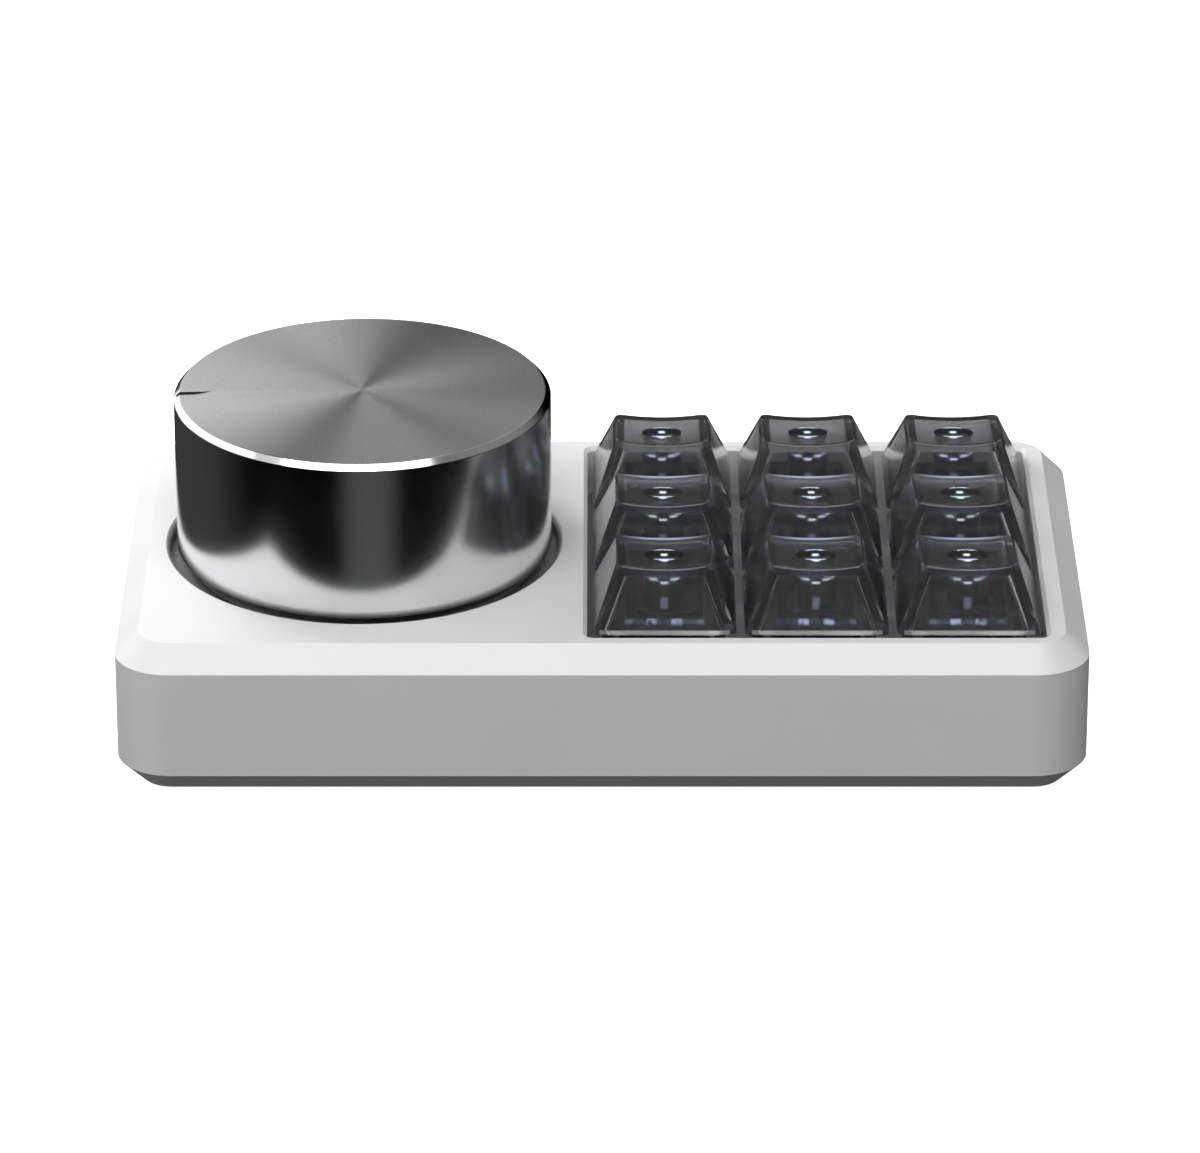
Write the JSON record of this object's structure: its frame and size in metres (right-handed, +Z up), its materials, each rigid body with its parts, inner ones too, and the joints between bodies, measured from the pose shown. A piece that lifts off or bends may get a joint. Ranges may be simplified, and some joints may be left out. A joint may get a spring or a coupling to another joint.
{
  "type": "macro keypad",
  "caption": "Desk macro keypad with a large turning and pressing metal knob beside a square block of sprung, smoked transparent keys in a chamfered white case.",
  "frame": {"origin": "on the desk under the middle of the case, at the underside of the feet", "axes": "+X along the width, from the knob to the keys; +Y from the front to the USB side; +Z up"},
  "size_m": [0.122, 0.068, 0.0419],
  "materials": {
    "white_case": "satin white coating on machined aluminium",
    "knob_metal": "polished side, brushed top",
    "smoked_plastic": "smoked transparent, glossy",
    "clear_plastic": "clear, glossy",
    "stem_plastic": "smooth",
    "black_plastic": "moulded",
    "grey_plate": "grey anodised",
    "board": "solder mask",
    "light": "clear lens over white body",
    "steel": "plated",
    "spring_steel": "bright drawn wire",
    "brass": "turned",
    "rubber": "matt"
  },
  "bodies": {
    "case": {"top_case": "white_case", "base_plate": "white_case", "rubber_feet": "rubber", "case_screws": "steel", "spacer_screws": "steel", "board_screws": "steel", "plate_screws": "steel", "spacers": "brass", "switch_plate": "grey_plate", "circuit_board": "board", "hot_swap_sockets": "black_plastic", "key_lights": "light", "switch_diodes": "black_plastic", "controller_chip": "black_plastic", "voltage_regulator": "black_plastic", "clock_crystal": "steel", "usb_socket": "steel", "usb_tongue": "black_plastic", "switch_bases": "black_plastic", "switch_tops": "clear_plastic", "switch_pins": "brass", "encoder_body": "black_plastic", "encoder_bush": "steel", "encoder_dome": "spring_steel", "switch_spring_1": "spring_steel", "switch_spring_2": "spring_steel", "switch_spring_3": "spring_steel", "switch_spring_4": "spring_steel", "switch_spring_5": "spring_steel", "switch_spring_6": "spring_steel", "switch_spring_7": "spring_steel", "switch_spring_8": "spring_steel", "switch_spring_9": "spring_steel"},
    "knob": {"knob": "knob_metal", "knob_insert": "black_plastic", "encoder_shaft": "steel"},
    "push": {"encoder_plunger": "black_plastic"},
    "key_1": {"keycap_1": "smoked_plastic", "switch_stem_1": "stem_plastic"},
    "key_2": {"keycap_2": "smoked_plastic", "switch_stem_2": "stem_plastic"},
    "key_3": {"keycap_3": "smoked_plastic", "switch_stem_3": "stem_plastic"},
    "key_4": {"keycap_4": "smoked_plastic", "switch_stem_4": "stem_plastic"},
    "key_5": {"keycap_5": "smoked_plastic", "switch_stem_5": "stem_plastic"},
    "key_6": {"keycap_6": "smoked_plastic", "switch_stem_6": "stem_plastic"},
    "key_7": {"keycap_7": "smoked_plastic", "switch_stem_7": "stem_plastic"},
    "key_8": {"keycap_8": "smoked_plastic", "switch_stem_8": "stem_plastic"},
    "key_9": {"keycap_9": "smoked_plastic", "switch_stem_9": "stem_plastic"}
  },
  "joints": [
    {"name": "key_1_press", "type": "slide", "parent": "case", "child": "key_1", "axis": [0, 0, -1], "range_m": [0, 0.004], "stiffness_N_per_m": 75, "springref_m": -0.004, "deforming": ["switch_spring_1"]},
    {"name": "key_2_press", "type": "slide", "parent": "case", "child": "key_2", "axis": [0, 0, -1], "range_m": [0, 0.004], "stiffness_N_per_m": 75, "springref_m": -0.004, "deforming": ["switch_spring_2"]},
    {"name": "key_3_press", "type": "slide", "parent": "case", "child": "key_3", "axis": [0, 0, -1], "range_m": [0, 0.004], "stiffness_N_per_m": 75, "springref_m": -0.004, "deforming": ["switch_spring_3"]},
    {"name": "key_4_press", "type": "slide", "parent": "case", "child": "key_4", "axis": [0, 0, -1], "range_m": [0, 0.004], "stiffness_N_per_m": 75, "springref_m": -0.004, "deforming": ["switch_spring_4"]},
    {"name": "key_5_press", "type": "slide", "parent": "case", "child": "key_5", "axis": [0, 0, -1], "range_m": [0, 0.004], "stiffness_N_per_m": 75, "springref_m": -0.004, "deforming": ["switch_spring_5"]},
    {"name": "key_6_press", "type": "slide", "parent": "case", "child": "key_6", "axis": [0, 0, -1], "range_m": [0, 0.004], "stiffness_N_per_m": 75, "springref_m": -0.004, "deforming": ["switch_spring_6"]},
    {"name": "key_7_press", "type": "slide", "parent": "case", "child": "key_7", "axis": [0, 0, -1], "range_m": [0, 0.004], "stiffness_N_per_m": 75, "springref_m": -0.004, "deforming": ["switch_spring_7"]},
    {"name": "key_8_press", "type": "slide", "parent": "case", "child": "key_8", "axis": [0, 0, -1], "range_m": [0, 0.004], "stiffness_N_per_m": 75, "springref_m": -0.004, "deforming": ["switch_spring_8"]},
    {"name": "key_9_press", "type": "slide", "parent": "case", "child": "key_9", "axis": [0, 0, -1], "range_m": [0, 0.004], "stiffness_N_per_m": 75, "springref_m": -0.004, "deforming": ["switch_spring_9"]},
    {"name": "knob_press", "type": "slide", "parent": "case", "child": "push", "axis": [0, 0, -1], "range_m": [0, 0.0005], "stiffness_N_per_m": 4000, "springref_m": -0.001, "deforming": ["encoder_dome"]},
    {"name": "knob_turn", "type": "hinge", "parent": "push", "child": "knob", "pos_m": [-0.0305, 0, 0.03], "axis": [0, 0, 1], "continuous": true}
  ]
}
